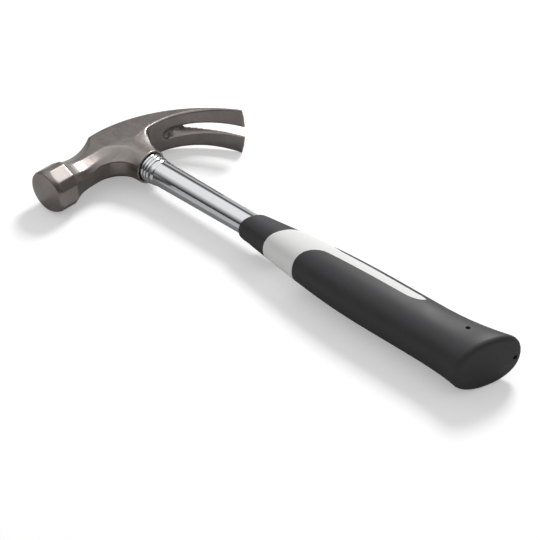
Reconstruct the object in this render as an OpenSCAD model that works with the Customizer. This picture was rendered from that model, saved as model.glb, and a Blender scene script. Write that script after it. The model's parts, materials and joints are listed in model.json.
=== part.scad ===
// Claw hammer with a tubular steel shaft and a two-colour soft grip, lying on one cheek.
// Millimetres. The hammer is drawn about its own shaft axis: X runs from the head to the
// butt, -Y points the way the striking face looks, +Z leaves the upper cheek.
// lay() then sets it down on its three resting points.

/* [Striking face and poll] */
// Diameter of the flat striking face
face_d = 27.6; // [22:0.2:28]
// From the shaft axis to the striking face
face_reach = 68.2; // [62:0.2:80]
// Length of the turned bevel around the face
face_bevel = 3.0; // [1.5:0.1:5]
// Radius over the corners of the faceted poll
poll_r = 16.2; // [15.6:0.1:17]
// Radius over the corners on the crown side of the poll
poll_crown_r = 14.6; // [14.4:0.1:16]
// Length of the straight poll, bevel included
poll_len = 15.5; // [12:0.1:18]
// First facet edge, degrees from the cheek
facet_edge_1 = 8; // [4:1:14]
// Second facet edge, degrees from the cheek
facet_edge_2 = 44; // [36:1:52]
// Third facet edge, degrees from the cheek
facet_edge_3 = 69; // [62:1:78]

/* [Neck and cheeks] */
// Radius over the corners at the waist of the neck
waist_r = 12.6; // [11:0.1:14]
// How much flatter the waist is across the cheeks
waist_flat = 0.88; // [0.8:0.01:1]
// From the shaft axis to the waist
waist_reach = 37.5; // [34:0.1:41]
// Width over the two cheeks
cheek_w = 25.2; // [24:0.1:28]
// Height of the crown above the shaft crossing
crown_h = 14.7; // [13:0.1:17]
// From the shaft axis to the front corner of the crown
crown_front = 16.5; // [14:0.1:19]
// Depth from the shaft crossing to the underside of the neck
under_h = 10.5; // [9.5:0.1:11.5]
// Half width of the flat along the underside
under_flat = 6; // [5:0.1:7]
// Depth from the shaft crossing to the ridge under the cheek
cheek_ridge = 4; // [3:0.1:5]
// Half width of the flat along the crown
crown_flat = 8.4; // [7:0.1:9.5]
// Height of the rounded edge between crown and cheek
crown_edge = 2; // [1:0.1:3]

/* [Socket] */
// From the shaft crossing to the rim of the socket
socket_len = 30; // [27:0.5:34]
// Outside radius at the rim
socket_r = 12.2; // [11.9:0.1:12.5]
// Radius of the arch between the neck and the socket
arch_r = 16; // [13:0.5:17]
// Radius of the ridge that turns from the neck down the socket
ridge_r = 20; // [17:0.5:22]
// Half width of the cheek at the foot of that ridge
ridge_foot = 5.5; // [4.5:0.1:6.5]
// Radius of the hollow between the socket and the claw
heel_r = 11.5; // [9:0.5:12]
// Depth from the shaft crossing to the top of that hollow
heel_top = 7.3; // [7:0.1:8.5]
// Half width of the cheek at the foot of the hollow
heel_foot = 5.4; // [4.5:0.1:6.5]
// How the cheek widens from there, per millimetre of height
heel_slope = 0.4; // [0.3:0.01:0.5]
// Width of the rolled edge around the hollow
heel_roll = 2.2; // [0.8:0.1:2.4]
// Depth of that rolled edge
heel_drop = 0.8; // [0.3:0.05:0.9]
// Depth of the chamfer in the mouth of the socket
mouth_depth = 2.2; // [1.5:0.1:3]

/* [Claw] */
// Radius of the crown curve that runs out along the claw
claw_curve_r = 89; // [84:1:95]
// From the shaft axis to where the crown starts to curve
claw_start = 10; // [8:0.5:12]
// Sweep of the claw, degrees
claw_sweep = 72; // [66:1:76]
// Width over the two tines at the tip
claw_w = 35.8; // [32:0.1:38]
// Thickness at the tip
tip_t = 1.8; // [1.6:0.1:3]
// Thickness at the root
root_t = 15.2; // [13:0.1:17]
// Where along the sweep the root is, degrees
root_at = 26; // [22:1:30]
// Chamfer along the inner edges of the tines
tine_edge = 1.2; // [0.8:0.1:1.6]
// How far the outer corners of the tips draw back, degrees
tip_bow = 1.6; // [0:0.1:3]
// Width of the nail slot on the inner side
slot_w = 7.7; // [6.5:0.1:8.4]
// Width of the nail slot on the outer side, at the tip
slot_tip_w = 7.2; // [6.2:0.1:8]
// Where the slot starts on the inner side, degrees
slot_root = 32; // [29:1:35]
// Where the slot breaks through the outer side, degrees
slot_through = 45; // [42:1:48]
// Chamfer along the inner edges of the slot
slot_lip = 1.1; // [0.6:0.1:1.4]

/* [Shaft] */
// Outside diameter of the tube in the head
tube_d = 18; // [17.6:0.1:18.4]
// Outside diameter of the tube in the grip
tube_grip_d = 16.5; // [15.8:0.1:17]
// Lean of the shaft toward the striking face, degrees
shaft_lean = 0.42; // [0:0.01:0.6]
// Wall of the tube
tube_wall = 1.5; // [1:0.1:2]
// How far the tube end sits below the crown
tube_recess = 2.5; // [2:0.1:4]
// From the lower end of the tube to the butt
tube_cover = 32.4; // [28:0.2:44]
// Radial clearance of parts that slide onto or into the tube
slip = 0.05; // [0.02:0.01:0.15]
// Length of the plug in the upper end of the tube
wedge_len = 22; // [15:1:30]
// Length of the plug in the lower end of the tube
plug_len = 14; // [8:1:20]
// Thickness of the flange on the lower plug
plug_flange = 2; // [1:0.1:3]

/* [Ferrule] */
// How far the ferrule stands out of the socket
ferrule_out = 11; // [9:0.5:14]
// Outside radius of the ferrule, over the beads
ferrule_r = 10; // [9.8:0.1:10.2]
// Thickness of its lower edge, where the skirt meets the tube
ferrule_lip = 0.25; // [0.2:0.05:0.4]
// Number of rolled beads
bead_count = 3; // [2:1:3]
// Pitch of the beads
bead_pitch = 2.6; // [2.2:0.1:2.8]
// Depth of the grooves between the beads
bead_groove = 0.5; // [0.3:0.05:0.6]

/* [Grip] */
// From the shaft crossing to the front edge of the grip, on the axis
grip_front = 127; // [122:1:132]
// From the shaft crossing to the butt, on the axis
grip_end = 318.4; // [314:0.1:325]
// Slant of the front edge
front_slant = 0.465; // [0.2:0.01:0.5]
// Slant of the butt
butt_slant = 0.335; // [0.2:0.005:0.4]
// Half width at the front edge
front_a = 9.7; // [9.5:0.1:10.2]
// Half width behind the front lip
neck_a = 10.5; // [10.2:0.1:11.4]
// Half width at the belly
belly_a = 18.4; // [17:0.1:20]
// Half width at the butt
butt_a = 22.4; // [20.5:0.1:24]
// Half thickness at the front edge
front_b = 9.5; // [9.4:0.1:10]
// Half thickness behind the front lip
neck_b = 9.8; // [9.7:0.1:10.6]
// Half thickness at the belly
belly_b = 15.4; // [14.4:0.1:17]
// Half thickness at the butt
butt_b = 18.1; // [17.2:0.1:19]
// Where the belly is
belly_at = 235; // [225:1:245]
// Where the butt starts to flare
flare_at = 268; // [262:1:275]
// How far the belly leans toward the striking face
belly_lean = 2.0; // [0:0.1:3]
// Rounding of the rim of the butt
butt_round = 3.5; // [2:0.1:4]
// Squareness of the sections, 2 is an ellipse
grip_square = 2.3; // [2:0.1:2.6]
// Thickness of the soft skin over the core
skin_t = 2.6; // [2:0.1:3]
// Thickness of the soft end wall
end_wall = 14; // [10:1:16]

/* [Colour break] */
// Where the pale band starts, on the axis
band_front = 153.3; // [148:0.1:158]
// Slant of the front of the band
band_slant = 0.6; // [0.3:0.05:0.7]
// Bend of the front of the band, per millimetre of width
band_bend = 0.012; // [0:0.001:0.02]
// Tip of the soft lobe on the striking side
lobe_face_tip = 175.6; // [172:0.1:178]
// Tip of the soft lobe on the claw side
lobe_claw_tip = 182; // [178:0.5:186]
// Length over which a lobe reaches its full width
lobe_nose = 16; // [12:0.5:20]
// Edge of the pale strip toward the striking face
strip_near = 0.2; // [-0.5:0.1:1.5]
// Edge of the pale strip toward the claw
strip_far = 7.6; // [6:0.1:9]
// Where the pale strip ends
strip_end = 264; // [255:1:270]
// Length of the round end of the strip
strip_nose = 12; // [8:0.5:16]

/* [Moulding holes] */
// Radius of the core-pin holes
pin_hole_r = 1.5; // [1:0.1:2]
// Depth of the core-pin holes
pin_hole_depth = 4; // [3:0.5:6]
// Where the cheek holes are along the shaft
cheek_hole_at = 299.5; // [294:0.5:302]
// Where the cheek holes are across the grip
cheek_hole_y = 1.5; // [-2:0.1:3]
// Where the butt hole is across the butt
butt_hole_y = 17; // [12:0.1:17.5]
// Where the butt hole is through the thickness
butt_hole_z = -1.8; // [-4:0.1:4]

/* [Hidden] */
$fn = 64;

// Colours
forged_grey = [0.42, 0.39, 0.37];
chrome_grey = [0.80, 0.81, 0.83];
steel_grey = [0.55, 0.55, 0.56];
nylon_grey = [0.30, 0.30, 0.31];
pale_grey = [0.82, 0.82, 0.81];
soft_black = [0.10, 0.10, 0.11];

// Overshoot that keeps cutters clear of the faces they cut
over = 1;

// Shaft
tube_r = tube_d / 2;
tube_bore = tube_r - tube_wall;
grip_r = tube_grip_d / 2;
grip_bore = grip_r - tube_wall;
tube_end = grip_end - tube_cover;
taper_end = grip_front - front_slant * front_a - over;
tube_top = tube_recess - crown_h;
ferrule_start = socket_len - mouth_depth + ferrule_r - tube_r;
ferrule_end = socket_len + ferrule_out;

// Head: half outlines run from the crown to the underside over the upper cheek
cheek_h = cheek_w / 2;
poll_end = poll_len - face_reach;
facets = [facet_edge_1, facet_edge_2, facet_edge_3];
claw_centre = claw_curve_r - crown_h;
taper_steps = 6;
shoulder_steps = 9;
claw_steps = 28;
claw_taper = 2.3;
claw_spread = 2.2;
crown_lip = 0.8;
lip_share = 1 / 4;
edge_share = 1 / 3;
bow_rise = 6;
crown_drop = 1 / 5;
crown_tuck = 1 / 3;
under_bulge = 0.4;
under_mid = 0.5;
under_bow = 0.55;
ridge_sink = 2.1;
flush = 0.02;
socket_bend = 1.6;
socket_side = 8;
socket_top = 4;
socket_steps = 11;
heel_steps = 8;
heel_end = heel_top + heel_r / 2;
roll_least = 0.3;
roll_span = 10;
roll_rise = 6;
slot_nose = 4;
slot_start = 0.4;
slot_least = 0.15;
slot_spread = 0.6;
slot_overrun = 3;
slot_lip_share = 0.4;

// Grip
lip_steps = 3;
body_steps = 24;
rim_steps = 4;
grip_points = 40;
core_points = 28;
core_steps = 10;
core_end = grip_end - end_wall;
strip_draw = 0.8;
lip_len = 5;
lip_end = grip_front + lip_len;
slant_run = 60;
flare_bend = 2.6;
zone_start = grip_front - belly_a;
flare_end = grip_end - butt_round;

// Resting points of the laid hammer: poll, claw tip and butt
poll_drop = poll_r * cos(facet_edge_1);
rest_poll = [0, face_bevel - face_reach, -poll_drop];
rest_claw = concat(claw_place(-crown_h + tip_t / 2, claw_sweep - tip_bow), -claw_w / 2);
rest_butt = lean_place([flare_end, grip_lean(flare_end), -butt_b]);
rest_turn = cross(rest_butt - rest_poll, rest_claw - rest_poll);
rest_up = rest_turn / norm(rest_turn);
rest_height = -rest_up * rest_poll;
butt_reach = max([for (i = [0:rim_steps], p = rim_ring(i / rim_steps)) lean_place(p).x]);
box_x = (butt_reach - crown_h) / 2;
box_y = (claw_place(-crown_h, claw_sweep).y - face_reach) / 2;

// Blends
function mix(a, b, t) = a + (b - a) * t;
function ease_out(t) = 1 - (1 - t) * (1 - t);
function clamp(t) = max(0, min(1, t));
function power(c, e) = sign(c) * pow(abs(c), e);
function lean_place(p) = [
    p.x * cos(shaft_lean) + p.y * sin(shaft_lean),
    p.y * cos(shaft_lean) - p.x * sin(shaft_lean),
    p.z
];

// A half outline made from facet edges, with its two mid-plane points
function facet_side(r, flat) = [for (a = facets) [r * sin(a), r * flat * cos(a)]];
function facet_half(r, crown_r, flat) =
    let (f = facet_side(r, flat), c = facet_side(crown_r, flat))
    [
        [-crown_r, 0], [-c[2].x, c[2].y], [-c[1].x, c[1].y], [-f[0].x, f[0].y],
        [f[0].x, f[0].y], [f[1].x, f[1].y], [f[2].x, f[2].y], [f[2].x, 0]
    ];
poll_half = facet_half(poll_r, poll_crown_r, 1);
waist_half = facet_half(waist_r, waist_r, waist_flat);

// The half outline of the cheeks
cheek_half = [
    [-crown_h, 0],
    [-crown_h, crown_flat],
    [-crown_h + crown_edge * crown_drop, cheek_h - crown_edge * crown_tuck],
    [-crown_h + crown_edge, cheek_h],
    [cheek_ridge, cheek_h],
    [mix(cheek_ridge, under_h, under_mid), mix(cheek_h, under_flat, under_bow)],
    [under_h, under_flat],
    [under_h + under_bulge, 0]
];

// Half outline across the straight part of the head, at a distance along Y
function straight_half(y) =
    y <= -waist_reach
    ? mix(poll_half, waist_half, ease_out(clamp((y - poll_end) / (-waist_reach - poll_end))))
    : let (t = clamp((y + waist_reach) / (waist_reach - crown_front)))
      [for (i = [0:7]) mix(waist_half[i], cheek_half[i], i < 5 ? t * t : ease_out(t))];

// Claw: thickness and half width along the sweep
function claw_t(a) =
    tip_t + (root_t - tip_t) * pow((claw_sweep - a) / (claw_sweep - root_at), claw_taper);
function claw_half_w(a) = mix(cheek_h, claw_w / 2, pow(a / claw_sweep, claw_spread));
function claw_half(a) =
    let (
        w = claw_half_w(a),
        under = min(claw_t(a) - crown_h, under_h),
        root = pow(clamp(1 - a / root_at), 2),
        edge = min(mix(tine_edge, under_h - cheek_ridge, root), claw_t(a) * edge_share),
        lip = min(crown_lip, claw_t(a) * lip_share)
    )
    [
        [-crown_h, 0],
        [-crown_h, w * crown_flat / cheek_h],
        [-crown_h + lip / 2, w - lip / 2],
        [-crown_h + lip, w],
        [under - edge, w],
        [under, w - edge],
        [under, w / 2],
        [under, 0]
    ];
function claw_place(depth, a) = [
    claw_centre - (claw_centre - depth) * cos(a),
    (claw_centre - depth) * sin(a) - claw_start
];
function claw_bow(a, z) =
    a - tip_bow * pow(z / claw_half_w(a), 2) * pow(a / claw_sweep, bow_rise);

// The closed ring of points from one half outline
function whole_ring(half) = concat(half, [for (i = [6:-1:1]) [half[i].x, -half[i].y]]);

// Faces of a lofted solid with closed ends
function loft_faces(rings, sides) = concat(
    [[for (j = [0:sides - 1]) j]],
    [for (i = [0:rings - 2], j = [0:sides - 1])
        let (a = i * sides, b = a + sides, k = (j + 1) % sides) [a + j, b + j, b + k, a + k]],
    [[for (j = [sides - 1:-1:0]) (rings - 1) * sides + j]]
);
module loft(rings) {
    sides = len(rings[0]);
    points = [for (ring = rings) each ring];
    polyhedron(points, loft_faces(len(rings), sides), convexity = 6);
}

// Rings of the head from the uncut face to the tips of the claw
straight_y = concat(
    [-face_reach - over],
    [for (i = [0:taper_steps]) mix(poll_end, -waist_reach, i / taper_steps)],
    [for (i = [1:shoulder_steps]) mix(-waist_reach, -crown_front, i / shoulder_steps)]
);
head_rings = concat(
    [for (y = straight_y) [for (p = whole_ring(straight_half(y))) [p.x, y, p.y]]],
    [for (i = [0:claw_steps])
        let (a = claw_sweep * i / claw_steps)
        [for (p = whole_ring(claw_half(a)))
            let (q = claw_place(p.x, claw_bow(a, p.y))) [q.x, q.y, p.y]]]
);

// Socket: facets that run on from the neck and the cheek and round off toward the rim.
// cheek_at() is the half width of the cheek at a place beside the claw; hollow() is how far
// a fillet of radius r stands out, on its way up to a given depth.
function cheek_at(x, y) = claw_half_w(asin(clamp((y + claw_start) / (claw_centre - x))));
function hollow(x, r, top) = let (t = clamp((top + r - x) / r)) r * (1 - sqrt(1 - t * t));
function socket_half(x) =
    let (
        front = socket_r + hollow(x, arch_r, under_h + under_bulge),
        ridge = ridge_foot + hollow(x, ridge_r, cheek_ridge - ridge_sink),
        edge = heel_foot + heel_slope * (socket_len - x) + hollow(x, heel_r / 2, heel_top),
        heel = socket_r + hollow(x, heel_r, heel_top),
        roll = max(roll_least, 1 - pow((x - heel_end) / (x < heel_end ? roll_rise : roll_span), 2)),
        run = clamp((x - under_h) / (socket_len - under_h)),
        wide = (cheek_at(x, edge) - cheek_h) * (1 - run),
        top = mix(cheek_h - flush, socket_r, run),
        neck = straight_half(-front),
        side = lookup(x, [for (i = [4:6]) neck[i]]) - flush,
        bend = mix(socket_bend, 1, run)
    )
    concat(
        [[-front, 0], [-front, side / 2]],
        [for (i = [0:socket_side])
            let (t = i / socket_side) [mix(-front, -ridge, t), mix(side, top, pow(t, bend))]],
        [for (i = [1:socket_side])
            let (y = mix(-ridge, edge, i / socket_side))
            [y, top + (cheek_at(x, y) - cheek_h) * (1 - run)]],
        [for (i = [0:socket_side / 2])
            mix(
                [edge + heel_roll * roll, top + wide - heel_drop * roll],
                [heel, under_flat], 2 * i / socket_side
            )],
        [[heel, under_flat / 2], [heel, 0]]
    );
function socket_ring(x) =
    let (
        line = socket_half(x),
        last = len(line) - 1,
        round = pow((x - socket_top) / (socket_len - socket_top), 2),
        ring = concat(line, [for (i = [last - 1:-1:1]) [line[i].x, -line[i].y]])
    )
    [for (i = [len(ring) - 1:-1:0])
        let (p = mix(ring[i], ring[i] * socket_r / norm(ring[i]), round)) [x, p.x, p.y]];
socket_x = concat(
    [for (i = [0:2]) mix(socket_top, heel_top, i / 3)],
    [for (i = [0:heel_steps]) mix(heel_end, heel_top, cos(90 * i / heel_steps))],
    [for (i = [1:socket_steps]) mix(heel_end, socket_len, i / socket_steps)]
);
socket_rings = [for (x = socket_x) socket_ring(x)];

// Nail slot: wide on the inner side, closing toward the outer side
slot_stops = concat(
    [for (i = [0:4]) mix(slot_root, slot_root + slot_nose, i / 4)],
    [for (i = [1:4]) mix(slot_root + slot_nose, slot_through, i / 4)],
    [for (i = [1:8]) mix(slot_through, claw_sweep + slot_overrun, i / 8)]
);
function slot_half_w(a) =
    slot_w / 2 * sqrt(max(slot_least, 1 - pow(clamp((slot_root + slot_nose - a) / slot_nose), 2)));
function slot_out_w(a) =
    let (t = clamp((a - slot_through) / (claw_sweep - slot_through)))
    max(slot_least, slot_tip_w / 2 * pow(t, slot_spread));
function slot_ring(a) =
    let (
        inner = min(claw_t(min(a, claw_sweep)) - crown_h, under_h),
        run = clamp((a - slot_root) / (slot_through - slot_root)),
        outer = mix(inner - slot_start, -crown_h - over, run),
        lip = min(slot_lip, (inner - outer) * slot_lip_share),
        i = slot_half_w(a),
        o = slot_out_w(a),
        half = [[inner + over, i + lip + over], [inner - lip, i], [outer, o]]
    )
    [for (p = concat([for (k = [2:-1:0]) half[k]], [for (h = half) [h.x, -h.y]]))
        let (q = claw_place(p.x, a)) [q.x, q.y, p.y]];

module along_shaft(x) {
    translate([x, 0, 0]) rotate([0, 90, 0]) children();
}
module lean() {
    rotate([0, 0, -shaft_lean]) children();
}

// The forging in one piece, at its full width over the tines
module forging() {
    resize([0, 0, claw_w]) difference() {
        union() {
            loft(head_rings);
            loft(socket_rings);
        }
        loft([for (a = slot_stops) slot_ring(a)]);
    }
}

// What the turning of the face and its bevel takes off
module face_turning() {
    bevel_run = poll_r - face_d / 2;
    translate([0, -face_reach, 0]) rotate([-90, 0, 0]) rotate_extrude()
        polygon([
            [0, 0], [face_d / 2, 0], [face_d / 2 + 2 * bevel_run, 2 * face_bevel],
            [face_d / 2 + 2 * bevel_run, -2 * over], [0, -2 * over]
        ]);
}

module head() {
    color(forged_grey) lay() difference() {
        forging();
        face_turning();
        lean() along_shaft(-crown_h - over)
            cylinder(r = tube_r + slip, h = crown_h + socket_len + 2 * over);
        lean() along_shaft(socket_len - mouth_depth)
            cylinder(
                r1 = tube_r + slip, r2 = tube_r + slip + mouth_depth + over,
                h = mouth_depth + over
            );
    }
}

module shaft() {
    color(chrome_grey) lay() lean() along_shaft(0) rotate_extrude() polygon([
        [tube_r, tube_top], [tube_r, ferrule_end], [grip_r, taper_end], [grip_r, tube_end],
        [grip_bore, tube_end], [grip_bore, taper_end], [tube_bore, ferrule_end], [tube_bore, tube_top]
    ]);
}

module neck_ferrule() {
    bore = tube_r + slip;
    span = ferrule_end - ferrule_start;
    color(chrome_grey) lay() lean() along_shaft(ferrule_start) rotate_extrude() difference() {
        polygon([
            [bore, 0], [ferrule_r, 0], [ferrule_r, bead_count * bead_pitch],
            [bore + ferrule_lip, span], [bore, span]
        ]);
        for (i = [1:bead_count])
            translate([ferrule_r + bead_groove, i * bead_pitch]) circle(r = 2 * bead_groove);
    }
}

module shaft_wedge() {
    color(steel_grey) lay() lean() along_shaft(tube_top) cylinder(r = tube_bore - slip, h = wedge_len);
}

module shaft_end_plug() {
    color(nylon_grey) lay() lean() {
        along_shaft(tube_end - plug_len) cylinder(r = grip_bore - slip, h = plug_len);
        along_shaft(tube_end) cylinder(r = grip_r, h = plug_flange);
    }
}

// Grip sections: half width, half thickness and lean along the shaft
function swell(x) = sin(90 * clamp((x - lip_end) / (belly_at - lip_end)));
function flare(x) = pow(clamp((x - flare_at) / (flare_end - flare_at)), flare_bend);
function lip(x) = ease_out(clamp((x - grip_front) / lip_len));
function grip_a(x) =
    mix(mix(front_a, neck_a, lip(x)), belly_a, swell(x)) + (butt_a - belly_a) * flare(x);
function grip_b(x) =
    mix(mix(front_b, neck_b, lip(x)), belly_b, swell(x)) + (butt_b - belly_b) * flare(x);
function grip_lean(x) = belly_lean * (flare(x) - swell(x));
function grip_slant(x) =
    front_slant * pow(1 - clamp((x - grip_front) / slant_run), 2) + butt_slant * flare(x);

// One ring of the grip, drawn in by a skin thickness and moved on by a step
function grip_ring(x, skin, sides, ahead = 0) =
    let (a = grip_a(x) - skin, b = grip_b(x) - skin, e = 2 / grip_square, s = grip_slant(x))
    [for (i = [0:sides - 1])
        let (
            c = power(cos(i * 360 / sides), e) * a,
            d = power(sin(i * 360 / sides), e) * b
        )
        [x + ahead + s * c, grip_lean(x) + c, d]];

function rim_ring(t) =
    grip_ring(flare_end, butt_round * (1 - cos(90 * t)), grip_points, butt_round * sin(90 * t));
grip_rings = concat(
    [for (i = [0:lip_steps]) grip_ring(grip_front + lip_len * i / lip_steps, 0, grip_points)],
    [for (i = [1:body_steps]) grip_ring(mix(lip_end, flare_end, i / body_steps), 0, grip_points)],
    [for (i = [1:rim_steps]) rim_ring(i / rim_steps)]
);
module grip_form() {
    loft(grip_rings);
}
module core_form() {
    start = lobe_face_tip - lobe_nose / 2;
    loft([for (i = [0:core_steps]) grip_ring(mix(start, core_end, i / core_steps), skin_t, core_points)]);
}

// Plan of everything that is pale: the band and the strip along each cheek
reach_y = butt_a + 2 * over;
function band_edge(y) = [band_front + band_slant * y + band_bend * y * y, y];
function lobe_edge(tip, edge, side, t) = [
    tip + lobe_nose * (1 - cos(90 * t)),
    side * mix(belly_a, edge, sin(90 * t))
];
function strip_tip(t) = [
    strip_end - strip_nose + strip_nose * sin(90 * t),
    mix(strip_far - strip_draw, -strip_near + strip_draw, cos(90 * t))
];
steps = [0:8];
pale_plan = concat(
    [for (i = [-8:8]) band_edge(i / 8 * reach_y)],
    [[lobe_claw_tip, reach_y]],
    [for (i = steps) lobe_edge(lobe_claw_tip, strip_far, 1, i / 8)],
    [[strip_end - strip_nose / 4, strip_far]],
    [for (i = [8:-1:0]) strip_tip(i / 8)],
    [for (i = [8:-1:0]) lobe_edge(lobe_face_tip, strip_near, -1, i / 8)],
    [[lobe_face_tip, -reach_y]]
);
module pale_zone() {
    translate([0, 0, -reach_y]) linear_extrude(2 * reach_y) polygon(pale_plan);
}
module collar_zone() {
    translate([0, 0, -reach_y]) linear_extrude(2 * reach_y)
        polygon(concat(
            [[zone_start, -reach_y]],
            [for (i = [-8:8]) band_edge(i / 8 * reach_y)],
            [[zone_start, reach_y]]
        ));
}
module tube_hole(from, to) {
    along_shaft(from) cylinder(r = grip_r + slip, h = to - from);
}

module grip_core() {
    color(pale_grey) lay() lean() difference() {
        union() {
            intersection() {
                grip_form();
                pale_zone();
            }
            core_form();
        }
        tube_hole(zone_start, tube_end + plug_flange + slip);
    }
}

module grip_collar() {
    color(soft_black) lay() lean() difference() {
        intersection() {
            grip_form();
            collar_zone();
        }
        tube_hole(zone_start, belly_at);
    }
}

module grip_shell() {
    color(soft_black) lay() lean() difference() {
        grip_form();
        core_form();
        pale_zone();
        collar_zone();
        pin_holes();
    }
}

module pin_holes() {
    for (side = [1, -1])
        translate([cheek_hole_at, cheek_hole_y, side * (butt_b - pin_hole_depth)])
            rotate([side > 0 ? 0 : 180, 0, 0]) cylinder(r = pin_hole_r, h = pin_hole_depth + over);
    translate([grip_end + butt_slant * (butt_hole_y - grip_lean(grip_end)), butt_hole_y, butt_hole_z])
        rotate([0, 90, -atan(butt_slant)])
            translate([0, 0, -pin_hole_depth]) cylinder(r = pin_hole_r, h = pin_hole_depth + over);
}

// Sets the hammer down: turns the plane of the three resting points level
module lay() {
    tilt_x = atan2(rest_up.y, rest_up.z);
    tilt_y = -asin(rest_up.x);
    translate([-box_x, -box_y, rest_height]) rotate([0, tilt_y, 0]) rotate([tilt_x, 0, 0]) children();
}

head();
shaft();
neck_ferrule();
shaft_wedge();
shaft_end_plug();
grip_core();
grip_collar();
grip_shell();
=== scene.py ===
"""A claw hammer with a tubular shaft and a two-colour grip, dressed around its CAD frame."""

from __future__ import annotations

import json
import logging
import math
from dataclasses import dataclass
from enum import Enum

import bmesh
import bpy
from mathutils import Euler, Matrix, Vector

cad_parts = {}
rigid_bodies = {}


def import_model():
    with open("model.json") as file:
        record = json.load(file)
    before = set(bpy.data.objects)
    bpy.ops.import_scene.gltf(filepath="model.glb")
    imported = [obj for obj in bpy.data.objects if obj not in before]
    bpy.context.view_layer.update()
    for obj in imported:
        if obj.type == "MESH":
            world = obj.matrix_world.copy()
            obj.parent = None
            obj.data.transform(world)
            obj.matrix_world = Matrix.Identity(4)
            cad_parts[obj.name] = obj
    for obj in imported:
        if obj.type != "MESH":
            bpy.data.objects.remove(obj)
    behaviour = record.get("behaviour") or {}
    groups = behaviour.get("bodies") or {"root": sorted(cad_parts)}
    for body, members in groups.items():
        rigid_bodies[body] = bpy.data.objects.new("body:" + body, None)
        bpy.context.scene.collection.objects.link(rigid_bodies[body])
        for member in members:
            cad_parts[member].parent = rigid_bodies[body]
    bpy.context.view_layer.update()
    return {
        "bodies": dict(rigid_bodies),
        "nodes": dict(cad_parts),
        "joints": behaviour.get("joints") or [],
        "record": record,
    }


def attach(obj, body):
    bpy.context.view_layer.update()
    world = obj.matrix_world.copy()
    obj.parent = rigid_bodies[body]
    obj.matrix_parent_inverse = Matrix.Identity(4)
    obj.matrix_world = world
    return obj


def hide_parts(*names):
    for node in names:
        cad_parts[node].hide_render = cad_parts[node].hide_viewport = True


LOG = logging.getLogger("hammer")
MM = 0.001
MERGE = 0.001 * MM
END_REACH = 5 * MM
MIDDLE = (0.3, 0.7)
# vertex attribute for edges painted paler, as wear and as a painted highlight
WEAR_AND_HIGHLIGHT = "wear_and_highlight"
WHITE = (1, 1, 1, 1)
BLACK = (0, 0, 0, 1)
NEW_STOP = 0.5
Colour = tuple[float, float, float]
Point = tuple[float, float, float]
Span = tuple[float, float]
Profile = list[Span]
Stops = tuple[Span, ...]


class Node(Enum):
    """The CAD nodes of the hammer."""

    HEAD = "head"
    SHAFT = "shaft"
    FERRULE = "neck_ferrule"
    WEDGE = "shaft_wedge"
    END_PLUG = "shaft_end_plug"
    GRIP_CORE = "grip_core"
    GRIP_COLLAR = "grip_collar"
    GRIP_SHELL = "grip_shell"


class Edges(Enum):
    """The angle past which an edge stays sharp, in degrees."""

    CRISP = 30
    SOFT = 40
    ROUND = 180


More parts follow.
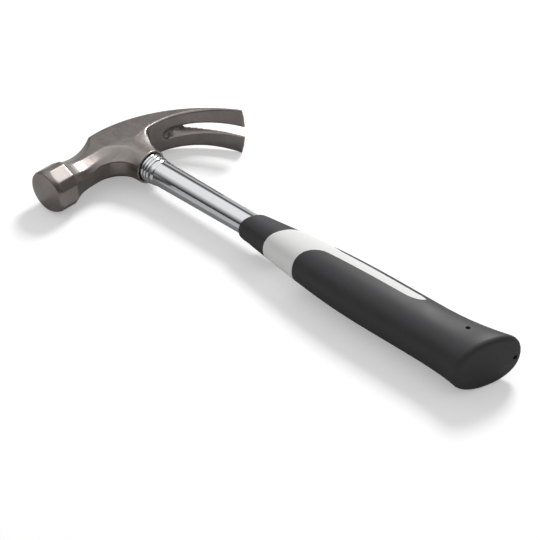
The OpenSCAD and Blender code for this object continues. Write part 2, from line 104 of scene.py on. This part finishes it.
class Board:
    """The node tree of a material or a world, with short ways to add and join nodes."""

    def __init__(self, owner: bpy.types.ID, shader: str = "Principled BSDF") -> None:
        """Starts the tree with the one shader it comes with.

        Args:
            owner: The material or the world.
            shader: The name of that shader.
        """
        owner.use_nodes = True
        self.owner = owner
        self.tree = owner.node_tree
        self.shader = self.tree.nodes[shader]
        self.place = self.add("ShaderNodeTexCoord").outputs["Object"]

    @classmethod
    def for_material(cls, name: str) -> Board:
        """Starts the tree of a new material."""
        return cls(bpy.data.materials.new(name))

    def set(self, **sockets: object) -> None:
        """Sets or joins inputs of the shader.

        Args:
            sockets: Input names, spaces as underscores, with a value or an output to join.
        """
        for name, value in sockets.items():
            self.feed(self.shader.inputs[name.replace("_", " ")], value)

    def math(self, operation: str, first: object, second: object) -> bpy.types.NodeSocket:
        """Adds a calculation on two values.

        Args:
            operation: What is done with them, by its Blender name.
            first: The first value or output.
            second: The second one.

        Returns:
            The result's output.
        """
        node = self.tree.nodes.new("ShaderNodeMath")
        node.operation = operation
        self.feed(node.inputs[0], first)
        self.feed(node.inputs[1], second)
        return node.outputs[0]

    def blend(self, share: object, first: object, second: object) -> bpy.types.NodeSocket:
        """Mixes two colours.

        Args:
            share: How much of the second one shows.
            first: The first colour or output.
            second: The second one.

        Returns:
            The colour output.
        """
        node = self.tree.nodes.new("ShaderNodeMix")
        node.data_type = "RGBA"
        colours = [end for end in node.inputs if end.type == "RGBA"]
        self.feed(node.inputs[0], share)
        self.feed(colours[0], first)
        self.feed(colours[1], second)
        return next(end for end in node.outputs if end.type == "RGBA")

    def remap(self, value: object, start: Span, end: Span) -> bpy.types.NodeSocket:
        """Maps a range of a value onto another range.

        Args:
            value: The value's output.
            start: The range it comes from.
            end: The range it goes to.

        Returns:
            The mapped output.
        """
        return self.add(
            "ShaderNodeMapRange", Value=value,
            From_Min=start[0], From_Max=start[1], To_Min=end[0], To_Max=end[1],
        ).outputs["Result"]

    def add(self, kind: str, **sockets: object) -> bpy.types.Node:
        """Adds a node and sets or joins its inputs.

        Args:
            kind: The node's Blender type.
            sockets: Input names, spaces as underscores, with a value or an output to join.

        Returns:
            The new node.
        """
        node = self.tree.nodes.new(kind)
        for name, value in sockets.items():
            self.feed(node.inputs[name.replace("_", " ")], value)
        return node

    def feed(self, socket: bpy.types.NodeSocket, value: object) -> None:
        """Joins an output to a socket, or sets the socket's value.

        Args:
            socket: The input socket.
            value: Another node's output, or a plain value.
        """
        if isinstance(value, bpy.types.NodeSocket):
            self.tree.links.new(value, socket)
        else:
            socket.default_value = value

    def noise(self, size: float, detail: float = 3.0, stretch: Point = (1, 1, 1)) -> bpy.types.NodeSocket:
        """Adds a noise pattern on Object coordinates.

        Args:
            size: The size of a patch, in metres.
            detail: How many finer layers it has.
            stretch: How much longer the patches are along each axis.

        Returns:
            The pattern's factor output.
        """
        squeeze = tuple(1 / (size * part) for part in stretch)
        mapping = self.add("ShaderNodeMapping", Vector=self.place, Scale=squeeze)
        return self.add(
            "ShaderNodeTexNoise", Vector=mapping.outputs["Vector"], Scale=1.0, Detail=detail
        ).outputs["Fac"]

    def tint(self, factor: bpy.types.NodeSocket, dark: Colour, light: Colour) -> bpy.types.NodeSocket:
        """Turns a pattern into a colour between two tones.

        Args:
            factor: The pattern.
            dark: The tone at its low end.
            light: The tone at its high end.

        Returns:
            The colour output.
        """
        ramp = self.add("ShaderNodeValToRGB", Fac=factor)
        ends = ramp.color_ramp.elements
        ends[0].position, ends[1].position = MIDDLE
        ends[0].color, ends[1].color = (*dark, 1), (*light, 1)
        return ramp.outputs["Color"]

    def bump(
        self, height: bpy.types.NodeSocket, depth: float, strength: float, under: object = None
    ) -> bpy.types.NodeSocket:
        """Adds a bump from a pattern.

        Args:
            height: The pattern.
            depth: The height of the bump, in metres.
            strength: How strongly it shows.
            under: The normal of a coarser bump, if there is one.

        Returns:
            The normal output.
        """
        node = self.add("ShaderNodeBump", Height=height, Distance=depth, Strength=strength)
        if under is not None:
            self.feed(node.inputs["Normal"], under)
        return node.outputs["Normal"]


@dataclass(frozen=True)
class Finish:
    """What every finish has: a material name, the slot it fills and its tones."""

    name: str
    slot: str
    dark: Colour
    light: Colour
    rough: Span

    def material(self) -> bpy.types.Material:
        """Gives the material, which is made on first use."""
        made = bpy.data.materials.get(self.name)
        if made is None:
            board = Board.for_material(self.name)
            self.paint(board)
            made = board.owner
        return made

    def paint(self, board: Board) -> None:
        """Builds the material on its node tree.

        Args:
            board: The node tree.
        """
        raise NotImplementedError


@dataclass(frozen=True)
class ForgedSteel(Finish):
    """A forging with a satin skin under clear lacquer, painted paler along edges that stand out, partly as
    wear and partly as a painted highlight.
    """

    # paler steel tone on edges that stand out: partly wear, partly a painted highlight
    edge_wear_and_highlight: Colour = (0.52, 0.50, 0.48)
    edge_wear_and_highlight_from: Span = (0.08, 0.30)
    edge_wear_and_highlight_most: float = 0.8
    cloud: float = 14 * MM
    cloud_detail: float = 5
    cloud_depth: float = 0.15 * MM
    flake: float = 2.2 * MM
    flake_detail: float = 4
    flake_most: float = 0.35
    grain: float = 0.7 * MM
    grain_detail: float = 2
    grain_depth: float = 0.05 * MM
    relief: float = 0.25
    lacquer: float = 0.4
    lacquer_rough: float = 0.16

    def paint(self, board: Board) -> None:
        """Builds the material on its node tree.

        Args:
            board: The node tree.
        """
        cloud = board.noise(self.cloud, self.cloud_detail)
        flake = board.noise(self.flake, self.flake_detail)
        grain = board.noise(self.grain, self.grain_detail)
        skin = board.blend(
            board.remap(flake, MIDDLE, (0.0, self.flake_most)),
            board.tint(cloud, self.dark, self.light), (*self.dark, 1),
        )
        # edges that stand out are painted paler: partly wear, partly a painted highlight
        corner = board.add("ShaderNodeAttribute")
        corner.attribute_name = WEAR_AND_HIGHLIGHT
        wear_and_highlight = board.remap(corner.outputs["Fac"], self.edge_wear_and_highlight_from, (0.0, self.edge_wear_and_highlight_most))
        coarse = board.bump(cloud, self.cloud_depth, self.relief)
        board.set(
            Base_Color=board.blend(wear_and_highlight, skin, (*self.edge_wear_and_highlight, 1)),
            Metallic=1.0,
            Roughness=board.remap(flake, MIDDLE, self.rough),
            Coat_Weight=self.lacquer,
            Coat_Roughness=self.lacquer_rough,
            Normal=board.bump(grain, self.grain_depth, self.relief, coarse),
        )


@dataclass(frozen=True)
class Chrome(Finish):
    """Bright plate on drawn steel, with faint lines along the shaft."""

    cloud: float = 9 * MM
    line: float = 0.35 * MM
    line_stretch: float = 120.0
    line_depth: float = 0.01 * MM
    relief: float = 0.12

    def paint(self, board: Board) -> None:
        """Builds the material on its node tree.

        Args:
            board: The node tree.
        """
        lines = board.noise(self.line, stretch=(self.line_stretch, 1, 1))
        cloud = board.noise(self.cloud)
        board.set(
            Base_Color=board.tint(cloud, self.dark, self.light),
            Metallic=1.0,
            Roughness=board.remap(cloud, MIDDLE, self.rough),
            Normal=board.bump(lines, self.line_depth, self.relief),
        )


@dataclass(frozen=True)
class PlainSteel(Finish):
    """Bare turned steel."""

    cloud: float = 2 * MM
    cloud_detail: float = 4
    grain: float = 0.4 * MM
    grain_depth: float = 0.03 * MM
    relief: float = 0.2

    def paint(self, board: Board) -> None:
        """Builds the material on its node tree.

        Args:
            board: The node tree.
        """
        cloud = board.noise(self.cloud, self.cloud_detail)
        board.set(
            Base_Color=board.tint(cloud, self.dark, self.light),
            Metallic=1.0,
            Roughness=board.remap(cloud, MIDDLE, self.rough),
            Normal=board.bump(board.noise(self.grain), self.grain_depth, self.relief),
        )


@dataclass(frozen=True)
class Moulding(Finish):
    """A moulded plastic or rubber skin with a fine even grain."""

    cloud: float = 18 * MM
    cloud_detail: float = 4
    grain: float = 0.35 * MM
    grain_detail: float = 2
    grain_depth: float = 0.03 * MM
    relief: float = 0.3

    def paint(self, board: Board) -> None:
        """Builds the material on its node tree.

        Args:
            board: The node tree.
        """
        cloud = board.noise(self.cloud, self.cloud_detail)
        grain = board.noise(self.grain, self.grain_detail)
        board.set(
            Base_Color=board.tint(cloud, self.dark, self.light),
            Roughness=board.remap(cloud, MIDDLE, self.rough),
            Normal=board.bump(grain, self.grain_depth, self.relief),
        )


FORGED = ForgedSteel(
    "lacquered_forging", "forged_head", (0.260, 0.233, 0.219), (0.325, 0.295, 0.277), (0.31, 0.39)
)
CHROME = Chrome("bright_chrome", "chrome", (0.73, 0.74, 0.76), (0.76, 0.77, 0.79), (0.05, 0.10))
STEEL = PlainSteel("plain_turned_steel", "plain_steel", (0.40, 0.40, 0.41), (0.50, 0.50, 0.51), (0.3, 0.5))
SOFT_GRIP = Moulding(
    "soft_black_grip", "soft_grip", (0.0265, 0.0256, 0.0285), (0.0335, 0.0325, 0.0360), (0.50, 0.58)
)
PALE_GRIP = Moulding("pale_grip", "pale_grip", (0.62, 0.62, 0.606), (0.67, 0.67, 0.656), (0.36, 0.44))
NYLON = Moulding("nylon_plug", "nylon", (0.07, 0.07, 0.072), (0.085, 0.085, 0.088), (0.4, 0.5))


class Piece:
    """Ways to turn a bmesh or a CAD node into a piece of the object."""

    @staticmethod
    def copy_of(node: Node, frame: dict) -> bmesh.types.BMesh:
        """Copies a CAD node's mesh and merges its loose triangles.

        Args:
            node: The CAD node.

        Returns:
            The merged copy.
        """
        bm = bmesh.new()
        bm.from_mesh(frame["nodes"][node.value].data)
        bmesh.ops.remove_doubles(bm, verts=bm.verts[:], dist=MERGE)
        return bm

    @staticmethod
    def finish(bm: bmesh.types.BMesh, node: Node, finish: Finish, edges: Edges) -> bpy.types.Object:
        """Makes the object that stands for a CAD node.

        Args:
            bm: The mesh, which is freed.
            node: The CAD node it replaces.
            finish: The finish it wears.
            edges: Which of its edges stay sharp.

        Returns:
            The new object.
        """
        mesh = bpy.data.meshes.new(node.value + "_skin")
        for face in bm.faces:
            face.smooth = True
        for edge in bm.edges:
            if len(edge.link_faces) == 2:
                edge.smooth = edge.calc_face_angle() < math.radians(edges.value)
        bm.to_mesh(mesh)
        bm.free()
        piece = bpy.data.objects.new(node.value + "_skin", mesh)
        bpy.context.scene.collection.objects.link(piece)
        mesh.materials.append(finish.material())
        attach(piece, "root")
        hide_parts(node.value)
        LOG.info("%s: %d faces", piece.name, len(mesh.polygons))
        return piece

    @staticmethod
    def settle(piece: bpy.types.Object) -> None:
        """Applies a piece's modifiers.

        Args:
            piece: The object.
        """
        shaped = piece.evaluated_get(bpy.context.evaluated_depsgraph_get())
        mesh = bpy.data.meshes.new_from_object(shaped)
        piece.modifiers.clear()
        piece.data = mesh
        LOG.info("%s: settled, %d faces", piece.name, len(mesh.polygons))


@dataclass(frozen=True)
class ShaftLine:
    """The axis of the tube, from its end in the head to its end in the grip."""

    start: Vector
    along: Vector

    @classmethod
    def from_frame(cls, frame: dict) -> ShaftLine:
        """Finds the axis from the two ends of the CAD tube.


        Returns:
            The axis.
        """
        bm = Piece.copy_of(Node.SHAFT, frame)
        places = [vert.co.copy() for vert in bm.verts]
        bm.free()
        low = min(place.x for place in places) + END_REACH
        high = max(place.x for place in places) - END_REACH
        first = [place for place in places if place.x < low]
        last = [place for place in places if place.x > high]
        start = sum(first, Vector()) / len(first)
        end = sum(last, Vector()) / len(last)
        return cls(start, (end - start).normalized())

    def lathe(self, profile: Profile, steps: int = 128) -> bmesh.types.BMesh:
        """Turns a closed profile about the axis.

        Args:
            profile: Distances along the axis from its start, and radii, in metres.
            steps: How many steps a turn has.

        Returns:
            The turned mesh.
        """
        bm = bmesh.new()
        line = [bm.verts.new((along, 0, radius)) for along, radius in profile]
        edges = [bm.edges.new(pair) for pair in zip(line, line[1:] + line[:1])]
        bmesh.ops.spin(
            bm, geom=line + edges, cent=(0, 0, 0), axis=(1, 0, 0),
            angle=math.tau, steps=steps, use_merge=True,
        )
        bmesh.ops.remove_doubles(bm, verts=bm.verts[:], dist=MERGE)
        bmesh.ops.recalc_face_normals(bm, faces=bm.faces[:])
        turn = Vector((1, 0, 0)).rotation_difference(self.along).to_matrix().to_4x4()
        bmesh.ops.transform(bm, matrix=Matrix.Translation(self.start) @ turn, verts=bm.verts[:])
        return bm


def arc(centre: Span, radius: float, first: float, last: float, count: int = 6) -> Profile:
    """Lists the points of an arc in the plane of a lathe profile.

    Args:
        centre: The centre, along the axis and out from it.
        radius: The radius.
        first: The first angle, in degrees from the axis.
        last: The last angle.
        count: How many steps it has.

    Returns:
        The points.
    """
    turns = [math.radians(first + (last - first) * i / count) for i in range(count + 1)]
    return [(centre[0] + radius * math.cos(t), centre[1] + radius * math.sin(t)) for t in turns]


@dataclass
class TubeShaft:
    """The chromed tube, the beaded ferrule on it and the plug in its upper end."""

    line: ShaftLine
    top: float = -12.2 * MM
    ferrule_end: float = 41.0 * MM
    taper_end: float = 121.49 * MM
    end: float = 286.0 * MM
    radius: float = 9.0 * MM
    grip_radius: float = 8.25 * MM
    wall: float = 1.5 * MM
    end_round: float = 0.4 * MM
    ferrule_start: float = 28.8 * MM
    ferrule_radius: float = 10.0 * MM
    ferrule_lip: float = 0.25 * MM
    bead_count: int = 3
    bead_steps: int = 10
    bead_pitch: float = 2.6 * MM
    bead_groove: float = 0.55 * MM
    bead_crown: float = 0.6
    slip: float = 0.05 * MM
    wedge_len: float = 22.0 * MM
    wedge_chamfer: float = 0.6 * MM

    def build(self) -> None:
        """Makes the three pieces."""
        Piece.finish(self.line.lathe(self.tube_profile()), Node.SHAFT, CHROME, Edges.CRISP)
        Piece.finish(self.line.lathe(self.ferrule_profile()), Node.FERRULE, CHROME, Edges.SOFT)
        Piece.finish(self.line.lathe(self.wedge_profile()), Node.WEDGE, STEEL, Edges.CRISP)

    def out(self, crossing: float) -> float:
        """Turns a distance from the shaft crossing into one from the end of the tube."""
        return crossing - self.top

    def tube_profile(self) -> Profile:
        """Lists the section of the tube wall."""
        rim, bore = self.end_round, self.radius - self.wall
        return [
            *arc((rim, self.radius - rim), rim, 180, 90),
            (self.out(self.ferrule_end), self.radius),
            (self.out(self.taper_end), self.grip_radius),
            (self.out(self.end), self.grip_radius),
            (self.out(self.end), self.grip_radius - self.wall),
            (self.out(self.taper_end), self.grip_radius - self.wall),
            (self.out(self.ferrule_end), bore),
            *arc((rim, bore + rim), rim, 270, 180),
        ]

    def ferrule_profile(self) -> Profile:
        """Lists the section of the ferrule, with a round crown on each bead."""
        root = self.ferrule_radius - self.bead_groove
        start = self.out(self.ferrule_start)
        profile = []
        for step in range(self.bead_count * self.bead_steps + 1):
            turns = step / self.bead_steps
            swell = abs(math.sin(math.pi * turns)) ** self.bead_crown
            profile.append((start + self.bead_pitch * turns, root + self.bead_groove * swell))
        end, bore = self.out(self.ferrule_end), self.radius + self.slip
        skirt = start + self.bead_pitch * self.bead_count
        profile += [
            (skirt + self.bead_groove, self.ferrule_radius - self.ferrule_lip),
            (end - self.ferrule_lip, bore + self.ferrule_lip), (end, bore), (start, bore),
        ]
        return profile

    def wedge_profile(self) -> Profile:
        """Lists the section of the plug in the tube."""
        radius, cut = self.radius - self.wall - self.slip, self.wedge_chamfer
        return [
            (0.0, 0.0), (0.0, radius - cut), (cut, radius),
            (self.wedge_len, radius), (self.wedge_len, 0.0),
        ]


@dataclass
class ForgedHead:
    """The forging: flat facets with every edge rounded off."""

    voxel: float = 0.45 * MM
    smoothing: float = 0.5
    passes: int = 6
    wear_and_highlight_passes: int = 3
    neck_blend: Point = (-0.150, -0.021, 0.0168)
    neck_reach: float = 17 * MM
    neck_passes: int = 16
    heel_blend: Point = (-0.146, 0.0135, 0.0168)
    heel_half: float = 13 * MM
    heel_reach: float = 6 * MM
    heel_passes: int = 5

    def build(self, frame: dict) -> bpy.types.Object:
        """Makes the head with rounded edges.


        Returns:
            The head.
        """
        piece = Piece.finish(Piece.copy_of(Node.HEAD, frame), Node.HEAD, FORGED, Edges.ROUND)
        remesh = piece.modifiers.new("even_mesh", "REMESH")
        remesh.mode = "VOXEL"
        remesh.voxel_size = self.voxel
        remesh.use_smooth_shade = True
        relax = piece.modifiers.new("worn_edges", "SMOOTH")
        relax.factor = self.smoothing
        relax.iterations = self.passes
        Piece.settle(piece)
        self.blend(piece, Vector(self.neck_blend), self.neck_reach, self.neck_passes)
        for side in (-self.heel_half, self.heel_half):
            heel = Vector(self.heel_blend) + Vector((0, 0, side))
            self.blend(piece, heel, self.heel_reach, self.heel_passes)
        self.mark_wear_and_highlight(piece)
        return piece

    def mark_wear_and_highlight(self, piece: bpy.types.Object) -> None:
        """Notes at each vertex how far it stands out, as a share of the voxel size; the finish paints such
        edges paler, partly as wear and partly as a painted highlight.

        Args:
            piece: The head.
        """
        bm = bmesh.new()
        bm.from_mesh(piece.data)
        bm.normal_update()
        bm.verts.ensure_lookup_table()
        around = [[edge.other_vert(vert).index for edge in vert.link_edges] for vert in bm.verts]
        stand = []
        for vert, ring in zip(bm.verts, around):
            mean = sum((bm.verts[i].co for i in ring), Vector()) / len(ring)
            stand.append((vert.co - mean).dot(vert.normal) / self.voxel)
        for _ in range(self.wear_and_highlight_passes):
            stand = [
                (own + sum(stand[i] for i in ring)) / (1 + len(ring))
                for own, ring in zip(stand, around)
            ]
        layer = bm.verts.layers.float.new(WEAR_AND_HIGHLIGHT)
        for vert, value in zip(bm.verts, stand):
            vert[layer] = value
        bm.to_mesh(piece.data)
        bm.free()

    def blend(self, piece: bpy.types.Object, centre: Vector, reach: float, passes: int) -> None:
        """Smooths the skin around a place where the forging's facets run together.

        Args:
            piece: The head.
            centre: The place.
            reach: How far around it the skin is smoothed.
            passes: How often, at the centre.
        """
        bm = bmesh.new()
        bm.from_mesh(piece.data)
        for turn in range(passes):
            near = reach * (1 - turn / (2 * passes))
            ball = [vert for vert in bm.verts if (vert.co - centre).length < near]
            bmesh.ops.smooth_vert(
                bm, verts=ball, factor=self.smoothing,
                use_axis_x=True, use_axis_y=True, use_axis_z=True,
            )
        bm.to_mesh(piece.data)
        bm.free()


@dataclass
class Grip:
    """The three mouldings of the grip and the plug that closes the tube inside it."""

    edges: Edges = Edges.SOFT
    plug_edges: Edges = Edges.CRISP

    def build(self, frame: dict) -> None:
        """Makes the four pieces from their CAD solids.
        """
        pieces = (
            (Node.END_PLUG, NYLON, self.plug_edges),
            (Node.GRIP_CORE, PALE_GRIP, self.edges),
            (Node.GRIP_COLLAR, SOFT_GRIP, self.edges),
            (Node.GRIP_SHELL, SOFT_GRIP, self.edges),
        )
        for node, finish, edges in pieces:
            Piece.finish(Piece.copy_of(node, frame), node, finish, edges)


@dataclass
class Studio:
    """Floor, wall, lamp, white surround and camera."""

    segments: int = 96
    floor_r: float = 6.0
    floor_rough: float = 0.9
    floor_tone: float = 0.84
    floor_shine: float = 0.60
    floor_lift: float = 0.325
    floor_far: Span = (0.5, 2.5)
    surround: float = 0.47
    wall_r: float = 2.0
    wall_h: float = 2.4
    wall_pale_side: Point = (-0.6, 0.8, 0.0)
    wall_dark_side: Point = (0.68, -0.73, 0.0)
    wall_soft_side: Point = (-0.59, -0.81, 0.0)
    wall_fade: Span = (0.35, 0.80)
    wall_front: Stops = ((0.0, 0.05), (0.44, 0.06), (0.58, 0.5), (0.72, 1.0))
    wall_back: Stops = (
        (0.0, 0.50), (0.36, 0.60), (0.44, 0.09), (0.62, 0.09), (0.70, 0.30), (0.80, 0.55), (0.85, 1.0)
    )
    wall_dark: Stops = ((0.0, 0.06), (0.48, 0.08), (0.75, 0.35), (0.95, 0.9))
    wall_soft: Stops = (
        (0.0, 0.05), (0.12, 0.05), (0.17, 0.10), (0.27, 0.25), (0.38, 0.43), (0.51, 0.66), (0.70, 0.98)
    )
    key_place: Point = (-0.42, 1.10, 1.20)
    key_size: float = 0.45
    key_power: float = 18.3
    sensor: float = 36.0
    lens: float = 109.17
    camera_place: Point = (0.553382, -0.617509, 0.652499)
    camera_aim: Point = (0.009206, -0.028816, 0.0168)
    camera_roll: float = -0.826

    def build(self) -> None:
        """Sets up the stage around the hammer."""
        bpy.context.scene.view_settings.view_transform = "Standard"
        self.lay_floor()
        self.hang_surround()
        self.stand_wall()
        self.hang_lamp("key", self.key_place, self.key_size, self.key_power)
        self.set_camera()

    def lay_floor(self) -> None:
        """Lays a pale round floor that keeps the shadow."""
        bm = bmesh.new()
        bmesh.ops.create_circle(bm, cap_ends=True, segments=self.segments, radius=self.floor_r)
        mesh = bpy.data.meshes.new("floor")
        bm.to_mesh(mesh)
        bm.free()
        floor = bpy.data.objects.new("floor", mesh)
        bpy.context.scene.collection.objects.link(floor)
        board = Board.for_material("floor_paper")
        path = board.add("ShaderNodeLightPath")
        pale, deep = ((tone, tone, tone, 1) for tone in (self.floor_tone, self.floor_shine))
        glow = self.floor_glow(board)
        board.set(
            Base_Color=board.blend(path.outputs["Is Glossy Ray"], pale, deep),
            Roughness=self.floor_rough,
            Specular_IOR_Level=0.0,
            Emission_Color=WHITE,
            Emission_Strength=board.math("MULTIPLY", path.outputs["Is Camera Ray"], glow),
        )
        mesh.materials.append(board.owner)

    def floor_glow(self, board: Board) -> bpy.types.NodeSocket:
        """Adds the lift that keeps the paper white where the lamp no longer reaches.

        Args:
            board: The node tree.

        Returns:
            The lift's output.
        """
        reach = board.add("ShaderNodeVectorMath", Vector=board.place)
        reach.operation = "LENGTH"
        return board.remap(reach.outputs["Value"], self.floor_far, (self.floor_lift, 1.0))

    @staticmethod
    def seen(board: Board) -> bpy.types.NodeSocket:
        """Adds the test for rays that see the background, straight or through a shine.

        Args:
            board: The node tree.

        Returns:
            The output that is 1 on such rays.
        """
        path = board.add("ShaderNodeLightPath")
        total = path.outputs["Is Camera Ray"]
        for name in ("Is Glossy Ray", "Is Transmission Ray"):
            total = board.math("MAXIMUM", total, path.outputs[name])
        return total

    def hang_surround(self) -> None:
        """Makes the world white to the camera and a plain soft light to the object."""
        world = bpy.data.worlds.new("surround")
        bpy.context.scene.world = world
        board = Board(world, "Background")
        level = board.remap(self.seen(board), (0.0, 1.0), (self.surround, 1.0))
        board.set(Color=WHITE, Strength=level)

    def stand_wall(self) -> None:
        """Stands a round grey wall at the edge of the studio, which only shines show."""
        bm = bmesh.new()
        bmesh.ops.create_cone(
            bm, cap_ends=False, segments=self.segments,
            radius1=self.wall_r, radius2=self.wall_r, depth=self.wall_h,
        )
        bmesh.ops.translate(bm, verts=bm.verts[:], vec=(0, 0, self.wall_h / 2))
        mesh = bpy.data.meshes.new("studio_wall")
        bm.to_mesh(mesh)
        bm.free()
        wall = bpy.data.objects.new("studio_wall", mesh)
        bpy.context.scene.collection.objects.link(wall)
        board = Board.for_material("wall_paint")
        parts = board.add("ShaderNodeSeparateXYZ", Vector=board.place)
        height = board.math("DIVIDE", parts.outputs["Z"], self.wall_h)
        tone = self.wall_tone(board, height, self.wall_front)
        sides = (
            (self.wall_soft_side, self.wall_soft),
            (self.wall_pale_side, self.wall_back),
            (self.wall_dark_side, self.wall_dark),
        )
        for toward, stops in sides:
            reach = board.add("ShaderNodeVectorMath")
            reach.operation = "DOT_PRODUCT"
            board.feed(reach.inputs[0], board.place)
            board.feed(reach.inputs[1], toward)
            fade = [part * self.wall_r for part in self.wall_fade]
            share = board.remap(reach.outputs["Value"], fade, (0.0, 1.0))
            tone = board.blend(share, tone, self.wall_tone(board, height, stops))
        board.set(
            Base_Color=BLACK,
            Specular_IOR_Level=0.0,
            Emission_Color=WHITE,
            Emission_Strength=tone,
        )
        mesh.materials.append(board.owner)
        wall.visible_camera = False
        wall.visible_diffuse = False
        wall.visible_transmission = False
        wall.visible_shadow = False

    @staticmethod
    def wall_tone(board: Board, height: bpy.types.NodeSocket, stops: Stops) -> bpy.types.NodeSocket:
        """Adds the wall's tone on its way up.

        Args:
            board: The node tree.
            height: The height, from 0 at the floor to 1 at the top.
            stops: Pairs of height and tone.

        Returns:
            The tone output.
        """
        ramp = board.add("ShaderNodeValToRGB", Fac=height)
        ends = ramp.color_ramp.elements
        while len(ends) < len(stops):
            ends.new(NEW_STOP)
        for end, (place, tone) in zip(ends, stops):
            end.position = place
            end.color = (tone, tone, tone, 1)
        return ramp.outputs["Color"]

    @staticmethod
    def hang_lamp(name: str, place: Point, size: float, power: float) -> None:
        """Hangs a soft square lamp that looks at the hammer.

        Args:
            name: The lamp's name.
            place: Where it hangs, in metres.
            size: Its side, in metres.
            power: Its power, in watts.
        """
        data = bpy.data.lights.new(name, "AREA")
        data.size = size
        data.energy = power
        lamp = bpy.data.objects.new(name, data)
        lamp.location = place
        lamp.rotation_euler = (-Vector(place)).to_track_quat("-Z", "Y").to_euler()
        bpy.context.scene.collection.objects.link(lamp)

    def set_camera(self) -> None:
        """Sets the camera where the photograph was taken from."""
        data = bpy.data.cameras.new("camera")
        data.sensor_width = self.sensor
        data.lens = self.lens
        camera = bpy.data.objects.new("camera", data)
        look = Vector(self.camera_aim) - Vector(self.camera_place)
        roll = Euler((0, 0, -math.radians(self.camera_roll))).to_matrix()
        turn = look.to_track_quat("-Z", "Y").to_matrix() @ roll
        camera.matrix_world = Matrix.Translation(self.camera_place) @ turn.to_4x4()
        bpy.context.scene.collection.objects.link(camera)
        bpy.context.scene.camera = camera


def main() -> None:
    """Dresses the hammer and sets it on its stage."""
    logging.basicConfig(level=logging.INFO, format="%(name)s: %(message)s")
    for thing in list(bpy.data.objects):
        bpy.data.objects.remove(thing)
    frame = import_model()
    ForgedHead().build(frame)
    TubeShaft(ShaftLine.from_frame(frame)).build()
    Grip().build(frame)
    Studio().build()


if __name__ == "__main__":
    main()
